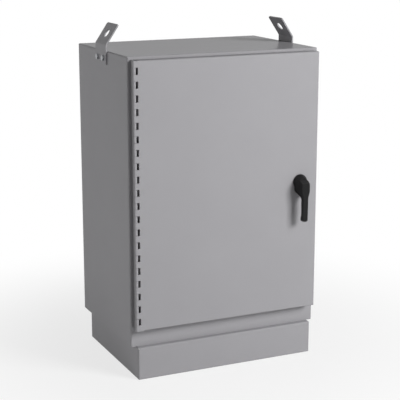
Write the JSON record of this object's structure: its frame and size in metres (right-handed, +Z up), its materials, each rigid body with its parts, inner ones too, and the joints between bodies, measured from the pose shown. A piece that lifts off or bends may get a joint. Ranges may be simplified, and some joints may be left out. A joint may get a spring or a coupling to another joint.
{
  "type": "free-standing control cabinet",
  "caption": "Grey folded-steel control cabinet with a single hinged door, lever handle with rod latch, lifting eyes on the sides and an inset plinth.",
  "frame": {"origin": "centre of the floor anchor holes, on the floor plane under the plinth", "axes": "+Z up, -Y out of the door's face, +X towards the door's handle edge"},
  "size_m": [0.7876, 0.608, 1.2878],
  "materials": {
    "grey_paint": "satin powder coat",
    "white_paint": "white powder coat",
    "zinc_steel": "zinc plated",
    "black_casting": "black powder coat on die-cast zinc",
    "black_foam": "closed-cell foam",
    "black_nylon": "moulded nylon",
    "white_nylon": "moulded nylon",
    "grey_plastic": "vacuum-formed polystyrene",
    "brass": "bare"
  },
  "bodies": {
    "cabinet": {"body_shell": "grey_paint", "plinth": "grey_paint", "plinth_bolts": "zinc_steel", "plinth_nuts": "zinc_steel", "gland_plate": "grey_paint", "gland_seal": "black_foam", "gland_screws": "zinc_steel", "gland_nuts": "zinc_steel", "mounting_panel": "white_paint", "panel_studs": "zinc_steel", "panel_nuts": "zinc_steel", "earth_stud": "brass", "earth_nuts": "brass", "lifting_eye_left": "grey_paint", "lifting_eye_right": "grey_paint", "lifting_eye_bolts": "zinc_steel", "lifting_eye_nuts": "zinc_steel", "hinge_body_leaf": "grey_paint", "hinge_pin": "zinc_steel"},
    "door": {"door_skin": "grey_paint", "door_stile": "grey_paint", "hinge_door_leaf": "grey_paint", "door_seal": "black_foam", "latch_channel": "grey_paint", "rod_guides": "black_nylon", "guide_screws": "zinc_steel", "handle_rose": "black_casting", "rose_nut": "zinc_steel", "print_pocket": "grey_plastic", "door_earth_stud": "brass"},
    "handle": {"handle_lever": "black_casting", "latch_spindle": "zinc_steel", "latch_cam": "zinc_steel", "cam_pins": "zinc_steel", "cam_nut": "zinc_steel"},
    "upper_latch": {"upper_rod": "zinc_steel", "upper_axle": "zinc_steel"},
    "lower_latch": {"lower_rod": "zinc_steel", "lower_axle": "zinc_steel"},
    "upper_wheel": {"upper_roller": "white_nylon"},
    "lower_wheel": {"lower_roller": "white_nylon"}
  },
  "joints": [
    {"name": "door_swing", "type": "hinge", "parent": "cabinet", "child": "door", "pos_m": [-0.37, -0.2725, 0.6895], "axis": [0, 0, -1], "range_deg": [0, 180]},
    {"name": "handle_turn", "type": "hinge", "parent": "door", "child": "handle", "pos_m": [0.292, -0.279, 0.6965], "axis": [0, 1, 0], "range_deg": [0, 90]},
    {"name": "upper_rod_slide", "type": "slide", "parent": "door", "child": "upper_latch", "axis": [0, 0, -1], "range_m": [0, 0.03394]},
    {"name": "lower_rod_slide", "type": "slide", "parent": "door", "child": "lower_latch", "axis": [0, 0, 1], "range_m": [0, 0.03394]},
    {"name": "upper_roller_spin", "type": "hinge", "parent": "upper_latch", "child": "upper_wheel", "pos_m": [0.31249, -0.2244, 1.15], "axis": [1, 0, 0], "continuous": true},
    {"name": "lower_roller_spin", "type": "hinge", "parent": "lower_latch", "child": "lower_wheel", "pos_m": [0.27152, -0.2244, 0.229], "axis": [1, 0, 0], "continuous": true}
  ],
  "couplings": [
    {"joint": "upper_rod_slide", "follows": "handle_turn", "m_per_rad": 0.021608},
    {"joint": "lower_rod_slide", "follows": "handle_turn", "m_per_rad": 0.021608}
  ]
}
